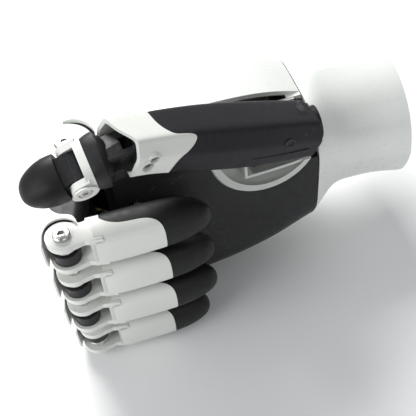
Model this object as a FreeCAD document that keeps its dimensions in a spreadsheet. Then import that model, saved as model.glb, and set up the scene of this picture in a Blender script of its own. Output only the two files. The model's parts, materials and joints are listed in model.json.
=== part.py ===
import FreeCAD, Part
import math
import os

# Right-hand powered prosthetic hand, millimetres.
# Frame: origin on the wrist axis at the cuff rim, +X towards the forearm,
# +Y towards the back of the hand, +Z towards the thumb side.  Every finger is
# modelled stretched out along -X about its own knuckle axis and is then placed
# in its relaxed, half-closed position.

V = FreeCAD.Vector
doc = FreeCAD.newDocument("ProstheticHand")
sheet = doc.addObject("Spreadsheet::Sheet", "Dims")
DIMS = {}
_row = [0]


def dim(alias, value, note=""):
    """One driving dimension: a plain number in a cell with an alias."""
    _row[0] += 1
    r = str(_row[0])
    sheet.set("A" + r, alias)
    sheet.set("B" + r, repr(float(value)))
    sheet.setAlias("B" + r, alias)
    if note:
        sheet.set("C" + r, note)
    DIMS[alias] = float(value)
    return float(value)


# ---------------------------------------------------------------- dimensions
dim("knuckle_x", -123.0, "knuckle axle, along the hand")
dim("knuckle_y", -6.0, "knuckle axle, palm to back")
dim("index_z", 23.4, "index finger centre plane")
dim("finger_pitch", 19.0, "finger to finger")
dim("little_extra", 3.4, "extra gap before the little finger")
dim("mcp_rest", 76.0, "knuckle flexion at rest, degrees")
dim("pip_rest", 100.6, "middle joint flexion at rest, degrees")
dim("prox_len", 38.2, "knuckle to middle joint")
dim("dist_len", 48.6, "middle joint to fingertip")
dim("little_prox_len", 34.6)
dim("little_dist_len", 44.6)
dim("axle_rad", 2.0, "knuckle axle radius")
dim("run_gap", 0.05, "radial running clearance")
dim("pip_rad", 1.5, "middle joint screw shank radius")
dim("hub_rad", 8.6, "finger hub")
dim("hub_half", 6.9, "half width of the finger core")
dim("skin_rad", 10.3, "knuckle cover radius")
dim("skin_half", 8.2, "half width over the knuckle cover")
dim("gear_module", 0.6)
dim("gear_teeth", 16)
dim("motor_rad", 4.6, "finger actuator radius")
dim("motor_len", 33.5, "finger actuator body")
dim("little_motor_len", 27.0, "shorter barrel for the little finger")
dim("nose_len", 6.0, "finger actuator nose")
dim("nose_rad", 3.0)
dim("rod_rad", 1.5, "rack rod radius")
dim("cuff_rad", 28.0, "rim of the wrist cuff")
dim("cuff_wall", 2.4)
dim("spigot_rad", 13.0, "wrist coupling spigot")
dim("spigot_end", 1.5)
dim("flange_rad", 19.0)
dim("flange_thick", 3.0)
dim("stack_x", -37.0, "front face of the coupling flange")
dim("bolt_pcd", 32.0)
dim("thumb_ax_y", -23.0, "thumb rotation axis")
dim("thumb_ax_z", 26.0)
dim("drum_rad", 9.0)
dim("drum_len", 21.0)
dim("thumb_motor_rad", 5.6)
dim("shell_wall", 2.0)
dim("thumb_mp_x", -101.8, "thumb first joint")
dim("thumb_mp_y", -34.9)
dim("thumb_mp_z", 53.0)
dim("thumb_prox_len", 20.5)
dim("thumb_dist_len", 18.8)
dim("thumb_mp_rest", 30.0)
dim("thumb_ip_rest", 8.0)
dim("plate_y", -20.6, "underside of the chassis plate")
dim("plate_thick", 3.0)
D = DIMS
doc.recompute()


# ------------------------------------------------------------------- helpers
def bind(obj, prop, expr):
    obj.setExpression(prop, expr)


def put(obj, base, axis=None, angle=None):
    """Placement with every coordinate bound to the sheet."""
    ax = V(*(axis or (0, 0, 1)))
    obj.Placement = FreeCAD.Placement(V(0, 0, 0), FreeCAD.Rotation(ax, 0 if angle is None or isinstance(angle, str) else angle))
    for c, e in zip("xyz", base):
        if isinstance(e, str):
            bind(obj, "Placement.Base." + c, e)
        else:
            p = obj.Placement
            setattr(p.Base, c, e)
            obj.Placement = p
    if isinstance(angle, str):
        obj.Placement = FreeCAD.Placement(obj.Placement.Base, FreeCAD.Rotation(ax, 1))
        bind(obj, "Placement.Rotation.Angle", angle)
    return obj


def cyl(name, r, h, base, axis="z"):
    o = doc.addObject("Part::Cylinder", name)
    for k, e in (("Radius", r), ("Height", h)):
        if isinstance(e, str):
            bind(o, k, e)
        else:
            setattr(o, k, e)
    rot = {"z": ((0, 0, 1), 0), "x": ((0, 1, 0), 90), "y": ((1, 0, 0), -90)}[axis]
    return put(o, base, rot[0], rot[1])


def box(name, size, base):
    o = doc.addObject("Part::Box", name)
    for k, e in zip(("Length", "Width", "Height"), size):
        if isinstance(e, str):
            bind(o, k, e)
        else:
            setattr(o, k, e)
    return put(o, base)


def fuse(name, parts):
    o = doc.addObject("Part::MultiFuse", name)
    o.Shapes = parts
    return o


def cut(name, a, b):
    o = doc.addObject("Part::Cut", name)
    o.Base = a
    o.Tool = b
    return o


def group(name, parts):
    o = doc.addObject("Part::Compound", name)
    o.Links = parts
    return o


def feature(name, shape, placement=None):
    o = doc.addObject("Part::Feature", name)
    o.Shape = shape
    if placement is not None:
        o.Placement = placement
    return o


def plane(body, role):
    return [f for f in body.Origin.OriginFeatures if f.Role == role][0]


def sketch(body, name, role, segs, offset=0.0):
    """Closed profile on one of the body's own origin planes."""
    s = body.newObject("Sketcher::SketchObject", name)
    s.AttachmentSupport = [(plane(body, role), "")]
    s.MapMode = "FlatFace"
    s.AttachmentOffset = FreeCAD.Placement(V(0, 0, offset), FreeCAD.Rotation())
    s.addGeometry(segs, False)
    return s


def loop(pts):
    return [Part.LineSegment(V(a[0], a[1], 0), V(b[0], b[1], 0)) for a, b in zip(pts, pts[1:] + pts[:1])]


def circle(x, y, r):
    return Part.Circle(V(x, y, 0), V(0, 0, 1), r)


def hexagon(r):
    return [(r * math.cos(math.radians(60 * k)), r * math.sin(math.radians(60 * k))) for k in range(6)]


# Smooth closed sections.  Poles of one periodic cubic, the same count in every
# section, so the skin between them is one clean surface.
def rr_poles(x, y0, y1, z0, z1, r, n=5, m=3):
    out = []
    cs = [(y1 - r, z1 - r, 0), (y0 + r, z1 - r, 90), (y0 + r, z0 + r, 180), (y1 - r, z0 + r, 270)]
    for i, (cy, cz, a0) in enumerate(cs):
        arc = []
        for k in range(n + 1):
            a = math.radians(a0 + 90.0 * k / n)
            arc.append((cy + r * math.cos(a), cz + r * math.sin(a)))
        ny, nz, na = cs[(i + 1) % 4]
        a = math.radians(na)
        nxt = (ny + r * math.cos(a), nz + r * math.sin(a))
        last = arc[-1]
        out += arc
        for k in range(1, m + 1):
            f = k / (m + 1.0)
            out.append((last[0] + (nxt[0] - last[0]) * f, last[1] + (nxt[1] - last[1]) * f))
    return [V(x, p[0], p[1]) for p in out]


def egg_poles(x, up, down, w, n=2.5, yc=0.0, zc=0.0, count=28):
    """Rounded finger section: 'up' towards the back, 'down' towards the pad."""
    out = []
    for k in range(count):
        t = 2 * math.pi * (k + 0.5) / count
        c, s = math.cos(t), math.sin(t)
        z = w * math.copysign(abs(c) ** (2.0 / n), c)
        y = (up if s > 0 else down) * math.copysign(abs(s) ** (2.0 / n), s)
        out.append(V(x, yc + y * 1.02, zc + z * 1.02))
    return out


def skin(sections):
    wires = []
    for pts in sections:
        c = Part.BSplineCurve()
        c.buildFromPoles(pts, True, 3)
        wires.append(Part.Wire([c.toShape()]))
    s = Part.makeLoft(wires, True, False)
    if s.Volume < 0:
        s = s.reversed()
    return s


def prism(pts, z0, z1):
    """Polygon in the XY plane pulled along Z."""
    w = Part.makePolygon([V(p[0], p[1], z0) for p in pts] + [V(pts[0][0], pts[0][1], z0)])
    return Part.Face(w).extrude(V(0, 0, z1 - z0))


def curve_prism(pts, straight, z0, z1):
    """Region closed by a smooth curve through pts and straight corners."""
    c = Part.BSplineCurve()
    c.interpolate([V(p[0], p[1], z0) for p in pts])
    e = [c.toShape()]
    q = [pts[-1]] + straight + [pts[0]]
    for a, b in zip(q[:-1], q[1:]):
        e.append(Part.makeLine(V(a[0], a[1], z0), V(b[0], b[1], z0)))
    return Part.Face(Part.Wire(Part.__sortEdges__(e))).extrude(V(0, 0, z1 - z0))


def pbox(x0, x1, y0, y1, z0, z1):
    return Part.makeBox(x1 - x0, y1 - y0, z1 - z0, V(x0, y0, z0))


def zcyl(x, y, r, z0, z1):
    return Part.makeCylinder(r, z1 - z0, V(x, y, z0), V(0, 0, 1))


def xcyl(y, z, r, x0, x1):
    return Part.makeCylinder(r, x1 - x0, V(x0, y, z), V(1, 0, 0))


def ycyl(x, z, r, y0, y1):
    return Part.makeCylinder(r, y1 - y0, V(x, y0, z), V(0, 1, 0))


def biggest(shape):
    """The one solid a boolean result holds; small offcuts are dropped."""
    s = sorted(shape.Solids, key=lambda q: q.Volume)[-1]
    if all(f.Surface.TypeId in ("Part::GeomPlane", "Part::GeomCylinder") for f in s.Faces):
        t = s.copy().removeSplitter()
        if t.isValid() and len(t.Solids) == 1 and abs(t.Volume - s.Volume) < 1e-3 * s.Volume:
            return t.Solids[0]
    return s


# ---------------------------------------------------------- gear and rack form
def gear_face_pts(module, teeth, phase_deg, backlash=0.10):
    rp = module * teeth / 2.0
    rb = rp * math.cos(math.radians(20))
    ra = rp + module
    rf = rp - 1.25 * module

    def inv(r):
        if r <= rb:
            return 0.0
        a = math.acos(rb / r)
        return math.tan(a) - a
    half = math.pi / (2 * teeth) - backlash / (2 * rp)
    base_inv = math.tan(math.radians(20)) - math.radians(20)
    pts = []
    for k in range(int(teeth)):
        c = math.radians(phase_deg) + 2 * math.pi * k / teeth
        rs = [rf] + [rb + (ra - rb) * j / 4.0 for j in range(5)]
        left = [(r, c - (half + base_inv - inv(r))) for r in rs]
        right = [(r, c + (half + base_inv - inv(r))) for r in reversed(rs)]
        pts += [(r * math.cos(a), r * math.sin(a)) for r, a in left + right]
    return pts


def rack_pts(module, n_lo, n_hi, pitch_y, back_y, x_lo, x_hi, backlash=0.10):
    """Teeth point to +Y; tooth k is centred at x = k * pitch."""
    p = math.pi * module
    tan20 = math.tan(math.radians(20))
    add, ded = 0.88 * module, 1.2 * module
    pts = [(x_lo, back_y), (x_lo, pitch_y - ded)]
    for k in range(n_lo, n_hi + 1):
        xc = k * p
        h = p / 4 - backlash / 2
        pts += [(xc - h - ded * tan20, pitch_y - ded), (xc - h + add * tan20, pitch_y + add),
                (xc + h - add * tan20, pitch_y + add), (xc + h + ded * tan20, pitch_y - ded)]
    pts += [(x_hi, pitch_y - ded), (x_hi, back_y)]
    return pts


NODES = []


def node(obj, name):
    obj.Label = name
    NODES.append((name, obj))
    return obj


# A shouldered screw with a hexagon socket, axis along local Z, built as a body.
def screw_body(name, shank_r, z_low, z_high, head_r, head_h, foot_r, foot_h, hex_r):
    b = doc.addObject("PartDesign::Body", name)
    pr = [(0, z_low - foot_h), (foot_r, z_low - foot_h), (foot_r, z_low), (shank_r, z_low), (shank_r, z_high),
          (head_r, z_high), (head_r, z_high + head_h - 0.35), (head_r - 0.35, z_high + head_h), (0, z_high + head_h)]
    if foot_h <= 0:
        pr = [(0, z_low)] + pr[3:]
    s = sketch(b, name + "_outline", "XZ_Plane", loop(pr))
    rev = b.newObject("PartDesign::Revolution", name + "_turned")
    rev.Profile = s
    rev.ReferenceAxis = (s, ["V_Axis"])
    rev.Angle = 360.0
    doc.recompute()
    before = b.Shape.Volume
    h = sketch(b, name + "_socket", "XY_Plane", loop(hexagon(hex_r)), z_high + head_h)
    pk = b.newObject("PartDesign::Pocket", name + "_hex")
    pk.Profile = h
    pk.Length = head_h * 0.62
    doc.recompute()
    if not b.Shape.Volume < before:
        pk.Reversed = True
        doc.recompute()
    assert b.Shape.Volume < before, name
    return b


# ======================================================== hand frame and shells
H_SECT = [(-36.0, -27.5, 23.5, -32.5, 26.5, 19), (-50.0, -28.3, 24.5, -36.5, 31.0, 17), (-65.0, -28.6, 23.5, -40.0, 33.0, 15),
          (-80.0, -28.2, 21.5, -42.8, 33.6, 14), (-95.0, -27.0, 18.8, -45.2, 33.6, 13), (-106.0, -25.0, 15.8, -46.2, 33.2, 11.5),
          (-114.0, -22.5, 12.8, -46.6, 32.8, 10), (-122.0, -19.0, 9.0, -46.6, 32.4, 8)]


def hand_skin(t, x_hi=None):
    secs = []
    for i, (x, y0, y1, z0, z1, r) in enumerate(H_SECT):
        secs.append(rr_poles(x, y0 + t, y1 - t, z0 + t, z1 - t, r - t))
    return skin(secs)


wall = D["shell_wall"]
h_out = hand_skin(0.0)
h_in = hand_skin(wall)
h_wall = h_out.cut(h_in)
mcx, mcy = D["knuckle_x"], D["knuckle_y"]
FZ = {"index": D["index_z"], "middle": D["index_z"] - D["finger_pitch"], "ring": D["index_z"] - 2 * D["finger_pitch"],
      "little": D["index_z"] - 3 * D["finger_pitch"] - D["little_extra"]}
# the little finger's drive is mirrored so that its actuator stays inside the hand
SIDE = {"index": 1, "middle": 1, "ring": 1, "little": -1}
axy, axz = D["thumb_ax_y"], D["thumb_ax_z"]
hub_clear = zcyl(mcx, mcy, D["skin_rad"] + 0.8, -60, 60)
thumb_clear = xcyl(axy, axz, 12.8, -65.0, -30.0).fuse(pbox(-82, -30, -60, -7.5, 27.0, 70))
PART_Y = -9.3


def bowl(grow):
    m = FreeCAD.Matrix()
    m.scale(21.0 + grow, 7.2 + grow, 23.0 + grow)
    s = Part.makeSphere(1.0).transformGeometry(m)
    s.translate(V(-57.5, -26.0, 26.0))
    return s


# back-of-hand shell
ds = h_wall.common(pbox(-121.5, -37.6, PART_Y, 40, -60, 60)).cut(hub_clear).cut(thumb_clear)
node(feature("BackShell", biggest(ds)), "dorsal_shell")

# palm cover, opened for the thumb root
pc = h_wall.common(pbox(-111.9, -37.6, -40, PART_Y - 0.3, -60, 60)).cut(thumb_clear).cut(bowl(0.25))
for zz in (-35.0, -7.4, 12.0):
    pc = pc.cut(ycyl(-104.5, zz, 2.9, -30, -20))
pc = pc.cut(xcyl(axy, axz, 14.3, -66.0, -30.0))
node(feature("PalmCover", biggest(pc)), "palm_cover")

# thumb root dish: bright crescent rim around a shallow bowl
lip = hand_skin(-0.35)
so = bowl(0.0).cut(bowl(-1.7)).common(lip).cut(xcyl(axy, axz, 13.4, -66.0, -30.0)).common(pbox(-90, -37.7, -40, -10, -10, 26.4))
trough = xcyl(axy, axz, 14.1, -65.8, -40.4).cut(xcyl(axy, axz, 12.9, -64.8, -30.0)).common(hand_skin(0.3)).common(pbox(-90, -30, -60, -6.0, -30, 26.8))
side_wall = pbox(-80.5, -65.3, -25.9, -8.2, 26.0, 26.9).common(hand_skin(0.3))
so = so.fuse(trough).fuse(side_wall).cut(h_wall.common(pbox(-121.5, -37.6, PART_Y - 0.1, 40, -60, 60)).cut(thumb_clear)).cut(pc)
node(feature("ThumbDish", biggest(so)), "thumb_socket")

# chassis: floor plate, front wall, knuckle lugs, rear flange, thumb motor ear
py, pt = D["plate_y"], D["plate_thick"]
floor = pbox(-112.5, -40.0, py, py + pt, -41.0, 27.5).cut(pbox(-82, -30, -40, 0, 1.5, 50)).common(hand_skin(wall + 0.25))
front = hand_skin(0.0).common(pbox(-114.3, -112.2, -40, -13.2, -60, 60)).cut(hub_clear)
ch = floor.fuse(front)
lug_tools = []
for f in ("index", "middle", "ring", "little"):
    z = FZ[f]
    sg = SIDE[f]
    za, zb = sorted((z + 0.25 * sg, z + 4.1 * sg))
    lug = zcyl(mcx, mcy, 4.6, za, zb).fuse(
        prism([(mcx - 1.2, mcy - 4.4), (mcx + 4.4, mcy + 1.2), (-111.0, -15.0), (-111.0, -19.0), (-113.5, -19.0)], za, zb))
    ch = ch.fuse(lug)
    # passage for the drive rod
    za, zb = sorted((z + 0.1 * sg, z - 4.7 * sg))
    lug_tools.append(xcyl(mcy - 6.8, z - 2.3 * sg, 2.4, -116, -108))
    lug_tools.append(pbox(-116, -108, mcy - 6.8, -8.0, za, zb))
for t in lug_tools:
    ch = ch.cut(t)
ch = ch.cut(zcyl(mcx, mcy, D["axle_rad"] + D["run_gap"], -60, 60))
rear = pbox(-40.0, D["stack_x"], -20.6, 18.0, -22.0, 14.0).fuse(xcyl(axy, axz, 6.2, -40.0, D["stack_x"])).fuse(
    pbox(-40.0, D["stack_x"], -20.6, -14.0, 10.0, 27.0))
ch = ch.fuse(rear)
for sx, sz in ((-98.0, 11.6), (-98.0, -26.4), (-58.0, -7.4), (-58.0, -28.0)):
    ch = ch.fuse(ycyl(sx, sz, 2.3, py + 1.0, 3.0)).cut(ycyl(sx, sz, 0.9, -5.0, 6.0))
for k in range(4):
    a = math.radians(45 + 90 * k)
    rr = D["bolt_pcd"] / 2
    ch = ch.cut(xcyl(rr * math.cos(a), rr * math.sin(a), 1.3, -45, -30))
for zz in (-35.0, -7.4, 12.0):
    ch = ch.cut(ycyl(-104.5, zz, 1.3, -30, -10))
ch = ch.cut(xcyl(axy, axz, 3.1, -45, -30))
node(feature("Chassis", biggest(ch)), "palm_chassis")

# wrist cuff: swells from the hand section, necks in, flares to a round rim
CR = D["cuff_rad"]
C_SECT = [(-36.9, -27.3, 23.6, -32.3, 26.4, 19.0), (-33.5, -26.4, 24.6, -29.5, 27.2, 20.5), (-28.0, -25.0, 25.3, -26.6, 27.0, 24.0),
          (-20.0, -25.0, 25.6, -25.6, 26.2, 25.0), (-10.0, -26.0, 26.4, -26.0, 26.4, 25.9), (-3.0, -27.4, 27.5, -27.4, 27.5, 27.3),
          (0.0, -CR, CR, -CR, CR, CR - 0.1)]


def cuff_skin(t):
    return skin([rr_poles(x, y0 + t, y1 - t, z0 + t, z1 - t, r - t, 5, 3) for x, y0, y1, z0, z1, r in C_SECT])


cuff = cuff_skin(0.0)
hollow = cuff_skin(D["cuff_wall"])
front_pocket = hollow.common(pbox(-40, -34.0, -40, 40, -40, 40))
back_pocket = hollow.common(pbox(-31.5, 5, -40, 40, -40, 40))
cuff = cuff.cut(front_pocket).cut(back_pocket).cut(xcyl(0, 0, D["spigot_rad"] + 0.4, -40, 5))
for k in range(4):
    a = math.radians(45 + 90 * k)
    cuff = cuff.cut(xcyl(D["bolt_pcd"] / 2 * math.cos(a), D["bolt_pcd"] / 2 * math.sin(a), 1.6, -45, 5))
node(feature("Cuff", biggest(cuff)), "wrist_cuff")

# quick-disconnect coupling: turned flange and spigot with a locking groove
wc = doc.addObject("PartDesign::Body", "WristCoupling")
sr, se, sx0, ft, fr = D["spigot_rad"], D["spigot_end"], D["stack_x"], D["flange_thick"], D["flange_rad"]
prof = [(sx0, 0), (sx0, fr), (sx0 + ft - 0.02, fr), (sx0 + ft - 0.02, sr), (-9.0, sr), (-9.0, sr - 1.4), (-6.0, sr - 1.4), (-6.0, sr),
        (se - 1.0, sr), (se, sr - 1.0), (se, 0)]
s1 = sketch(wc, "coupling_outline", "XY_Plane", loop(prof))
rv = wc.newObject("PartDesign::Revolution", "coupling_turned")
rv.Profile = s1
rv.ReferenceAxis = (s1, ["H_Axis"])
rv.Angle = 360.0
doc.recompute()
vol0 = wc.Shape.Volume
s2 = sketch(wc, "flange_hole", "YZ_Plane", [circle(D["bolt_pcd"] / 2 * math.cos(math.pi / 4), D["bolt_pcd"] / 2 * math.sin(math.pi / 4), 1.6)], sx0 + ft)
pk = wc.newObject("PartDesign::Pocket", "flange_hole_cut")
pk.Profile = s2
pk.Length = 6.0
doc.recompute()
if not wc.Shape.Volume < vol0 - 1:
    pk.Reversed = True
    doc.recompute()
pp = wc.newObject("PartDesign::PolarPattern", "flange_holes")
pp.Originals = [pk]
pp.Axis = (s2, ["N_Axis"])
pp.Angle = 360.0
pp.Occurrences = 4
wc.Tip = pp
doc.recompute()
s3 = sketch(wc, "face_hole", "YZ_Plane", [circle(8.0, 0.0, 1.25)], se)
pk2 = wc.newObject("PartDesign::Pocket", "face_hole_cut")
pk2.Profile = s3
pk2.Length = 8.0
doc.recompute()
pp2 = wc.newObject("PartDesign::PolarPattern", "face_holes")
pp2.Originals = [pk2]
pp2.Axis = (s3, ["N_Axis"])
pp2.Angle = 360.0
pp2.Occurrences = 4
wc.Tip = pp2
doc.recompute()
v1 = wc.Shape.Volume
s4 = sketch(wc, "cable_bore", "YZ_Plane", [circle(0, 0, 4.0)], se)
pk3 = wc.newObject("PartDesign::Pocket", "cable_bore_cut")
pk3.Profile = s4
pk3.Length = 60.0
wc.Tip = pk3
doc.recompute()
node(wc, "wrist_coupling")

# four cap screws through cuff, coupling and chassis
scr = []
for k in range(4):
    a = math.radians(45 + 90 * k)
    y, z = D["bolt_pcd"] / 2 * math.cos(a), D["bolt_pcd"] / 2 * math.sin(a)
    sh_ = cyl("flange_shank%d" % k, 1.25, 8.0, (-39.5, y, z), "x")
    hd_ = cyl("flange_head%d" % k, 2.6, 2.4, (-31.5, y, z), "x")
    hx_ = cyl("flange_socket%d" % k, 1.2, 1.5, (-30.5, y, z), "x")
    scr.append(cut("flange_screw%d" % k, fuse("flange_blank%d" % k, [sh_, hd_]), hx_))
node(group("FlangeScrews", scr), "adapter_screws")

# palm cover screws
scr = []
for k, zz in enumerate((-35.0, -7.4, 12.0)):
    sh_ = cyl("cover_shank%d" % k, 1.25, 6.0, (-104.5, -24.0, zz), "y")
    hd_ = cyl("cover_head%d" % k, 2.6, 1.6, (-104.5, -25.0, zz), "y")
    hx_ = cyl("cover_socket%d" % k, 1.2, 0.9, (-104.5, -25.1, zz), "y")
    scr.append(cut("cover_screw%d" % k, fuse("cover_blank%d" % k, [sh_, hd_]), hx_))
node(group("CoverScrews", scr), "cover_screws")

# control board with its larger components
pcb = box("board_plate", (50.0, 1.6, 46.0), (-104.0, 3.0, -33.0))
parts_ = [pcb,
          box("board_processor", (12.0, 1.8, 12.0), (-90.0, 4.5, -16.0)),
          box("board_driver_a", (7.0, 1.5, 7.0), (-74.0, 4.5, -26.0)),
          box("board_driver_b", (7.0, 1.5, 7.0), (-74.0, 4.5, -12.0)),
          box("board_driver_c", (7.0, 1.5, 7.0), (-74.0, 4.5, 2.0)),
          box("board_connector", (6.0, 4.5, 20.0), (-62.0, 4.5, -20.0)),
          cyl("board_capacitor", 3.0, 5.0, (-98.0, 4.5, 2.0), "y")]
node(fuse("ControlBoard", parts_), "control_board")

# knuckle axle through all four fingers, headed at the thumb side
z_top = D["index_z"] + D["skin_half"]
z_bot = FZ["little"] - D["skin_half"]
ax = screw_body("KnuckleAxle", D["axle_rad"], z_bot - 0.15, z_top + 0.15, 3.3, 1.3, 3.3, 1.3, 1.5)
put(ax, ("Dims.knuckle_x", "Dims.knuckle_y", 0.0))
node(ax, "knuckle_axle")

# finger actuators: gearmotor barrel, nose and end cap
for f in ("index", "middle", "ring", "little"):
    base_x = mcx + 16.0
    yy, zz = mcy - 6.8, FZ[f] - 2.3 * SIDE[f]
    mlen = "little_motor_len" if f == "little" else "motor_len"
    nose = cyl(f + "_nose", "Dims.nose_rad", "Dims.nose_len", (base_x, yy, zz), "x")
    barrel = cyl(f + "_barrel", "Dims.motor_rad", "Dims." + mlen, (base_x + 5.9, yy, zz), "x")
    cap = cyl(f + "_end_cap", 3.6, 1.6, (base_x + 5.8 + D[mlen], yy, zz), "x")
    bore = cyl(f + "_nose_bore", D["rod_rad"] + D["run_gap"], 14.0, (base_x - 0.5, yy, zz), "x")
    node(cut(f + "_actuator_body", fuse(f + "_actuator_blank", [nose, barrel, cap]), bore), f + "_actuator")

# =============================================================== four fingers
GM, GT = D["gear_module"], int(D["gear_teeth"])
GR = GM * GT / 2.0


def bar(x0, x1, y0, y1, w, r):
    secs = [rr_poles(x, y0, y1, -w, w, r) for x in (x0, (x0 + x1) / 2, x1)]
    return skin(secs)


def finger_shapes(L, T):
    """Every formed piece of one finger, stretched out along -X."""
    out = {}
    rest_m = D["mcp_rest"]
    hw = D["hub_half"]

    # -- proximal phalanx: forked hub with its drive gear, tapering to a tongue
    cw = hw - 0.2
    core = skin([rr_poles(-2.0, -6.6, 6.3, -cw, cw, 2.8), rr_poles(-12.0, -6.8, 6.3, -cw, cw, 2.8), rr_poles(-L * 0.6, -6.4, 6.3, -cw, cw, 2.8),
                 rr_poles(-L + 6.4, -5.6, 6.2, -cw, cw, 2.6)])
    b = core.fuse(zcyl(0, 0, D["hub_rad"], -hw, hw))
    b = b.cut(zcyl(0, 0, D["hub_rad"] + 0.7, -4.45, 4.45)).cut(pbox(-11.6, 2.0, -12.0, -0.8, -4.45, 4.45))
    b = b.cut(pbox(0.0, 12.0, -12.0, 12.0, -4.45, 4.45))
    gw = gear_face_pts(GM, GT, -90.0 - rest_m + 180.0 / GT)
    b = b.fuse(prism(gw, -4.9, -0.35)).fuse(zcyl(0, 0, 3.9, -4.9, -0.3))
    tongue = zcyl(-L, 0, 4.6, -4.2, 0.5).fuse(pbox(-L, -L + 7.0, -4.2, 4.4, -4.2, 0.5))
    b = b.fuse(tongue)
    # seat for the return spring beside the tongue
    b = b.fuse(zcyl(-L, 0, 2.4, 0.4, 4.3))
    b = b.cut(zcyl(0, 0, D["axle_rad"] + D["run_gap"], -20, 20)).cut(zcyl(-L, 0, D["pip_rad"] + D["run_gap"], -20, 20))
    out["proximal"] = biggest(b)

    # -- white knuckle cover: domed cheeks, slim back strip, yoke round the joint
    so_, si_ = D["skin_half"], D["hub_half"] + 0.15
    R = D["skin_rad"]
    outer = skin([rr_poles(0.0, -8.0, 8.0, -so_, so_, 3.4), rr_poles(-14.0, -8.0, 8.0, -so_ + 0.1, so_ - 0.1, 3.6), rr_poles(-L * 0.62, -8.0, 7.9, -so_ + 0.3, so_ - 0.3, 3.8),
                  rr_poles(-L + 7.0, -8.0, 7.9, -so_ + 0.25, so_ - 0.25, 3.6), rr_poles(-L - 2.6, -8.0, 7.2, -so_ + 0.5, so_ - 0.5, 3.6)])
    dome = zcyl(0, 0, R, -so_, so_)
    fe = [e for e in dome.Edges if e.Curve.TypeId == "Part::GeomCircle"]
    dome = dome.makeFillet(1.6, fe)
    inner = pbox(-60, 20, -20, 6.45, -si_, si_)
    o = outer.fuse(dome).cut(inner).cut(zcyl(0, 0, R - 1.4, -si_, si_))
    # keep the cheeks, the strip and the yoke
    x_a, x_b = -9.0, -L + 8.2
    side = curve_prism([(x_a + 2.2, -13.0), (x_a + 1.0, -4.0), (x_a - 1.0, 1.2), (x_a - 6.5, 4.6), ((x_a + x_b) / 2, 5.0), (x_b + 3.0, 4.4),
                        (x_b, 1.0), (x_b - 1.0, -3.0), (x_b - 5.0, -5.2), (x_b - 16.0, -6.4)], [(x_b - 16.0, -13.0)], -20, 20)
    o = o.cut(side)
    wall_cut = prism([(0, 0), (16, -1.2), (16, -16), (-8.0, -16), (-8.0, -5.2)], -si_, si_)
    o = o.cut(wall_cut).cut(pbox(-L - 8.0, -L + 12.0, -20, 5.2, -si_, si_))
    # relief for the fork of the next segment
    o = o.cut(zcyl(-L, 0, 6.3, -12, 12))
    o = o.cut(zcyl(0, 0, 3.6, so_ - 0.9, so_ + 1)).cut(zcyl(0, 0, 3.6, -so_ - 1, -so_ + 0.9)).cut(zcyl(0, 0, D["axle_rad"] + 0.2, -20, 20))
    out["knuckle_cover"] = biggest(o)

    # -- return spring, wound round its seat
    hel = Part.makeHelix(0.98, 2.9, 3.35)
    prof_ = Part.Wire([Part.makeCircle(0.42, V(3.35, 0, 0), V(0, 1, 0))])
    sp = Part.Wire(hel.Edges).makePipeShell([prof_], True, True)
    out["return_spring"] = sp.Solids[0]

    # -- fork of the distal segment with its core
    arms = zcyl(0, 0, 5.6, 4.5, 6.85)
    arm_p = [(-1.0, 5.4), (-6.5, 4.1), (-12.6, 5.4), (-12.6, -4.9), (-6.5, -3.6), (-1.0, -5.4)]
    arms = arms.fuse(prism(arm_p, 4.5, 6.85))
    arms2 = arms.mirror(V(0, 0, 0), V(0, 0, 1))
    lk = arms.fuse(arms2).fuse(pbox(-12.6, -8.2, -4.6, 4.6, -7.15, 7.15)).fuse(
        skin([rr_poles(-9.0, -3.6, 3.6, -5.2, 5.2, 1.6), rr_poles(-20.0, -3.4, 3.4, -4.8, 4.8, 1.6), rr_poles(-T * 0.74, -2.4, 2.2, -3.6, 3.6, 1.4)]))
    lk = lk.cut(zcyl(0, 0, D["pip_rad"] + 0.02, -20, 20))
    out["distal_link"] = biggest(lk)

    # -- distal outer form
    q = T / 48.6
    form = [(-9.6, 6.2, 6.0, 7.7, 3.4), (-15.0, 6.6, 6.4, 7.85, 3.2), (-24.0, 6.5, 6.9, 7.85, 3.0), (-33.0, 6.1, 7.1, 7.6, 2.8),
            (-39.5, 5.3, 6.6, 7.0, 2.6), (-44.0, 4.1, 5.5, 5.9, 2.4), (-46.8, 2.7, 4.0, 4.4, 2.3), (-48.2, 1.3, 2.4, 2.6, 2.2), (-48.6, 0.4, 1.2, 1.0, 2.0)]

    def dskin(t):
        out = []
        for x, u, d_, w, n in form:
            xx = x * q if t == 0 else x * q + (t * 1.3 if x < -40 else (-0.4 if x > -10 else 0))
            out.append(egg_poles(xx, max(u - t, 0.25), max(d_ - t, 0.25), max(w - t, 0.25), n, -0.25))
        return skin(out)
    d_out, d_in = dskin(0.0), dskin(1.45)
    bound = [(-9.0, -7.6), (-10.6, -5.4), (-13.4, -1.8), (-17.5, 0.6), (-23.0, 1.3), (-28.0 * q, 1.9), (-31.2 * q, 4.0), (-32.4 * q, 8.5)]
    white_zone = curve_prism(bound, [(-32.4 * q, 12.0), (0.0, 12.0), (0.0, -7.6)], -12, 12)
    cov = d_out.common(white_zone).cut(d_in)
    web = pbox(-12.7, 0, -4.95, 5.5, -7.3, 7.3)
    cov = cov.cut(web)
    out["distal_cover"] = biggest(cov)

    gap = [(x - 0.12, y - 0.12) for x, y in bound]
    gap[0] = (-9.0, -7.8)
    black_zone = curve_prism(gap, [(-32.4 * q - 0.12, 12.0), (1.0, 12.0), (1.0, -7.8)], -12, 12)
    tp = d_out.cut(black_zone).fuse(dskin(1.55)).common(pbox(-60, -12.75, -20, 20, -20, 20)).cut(lk)
    out["fingertip"] = biggest(tp)

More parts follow.
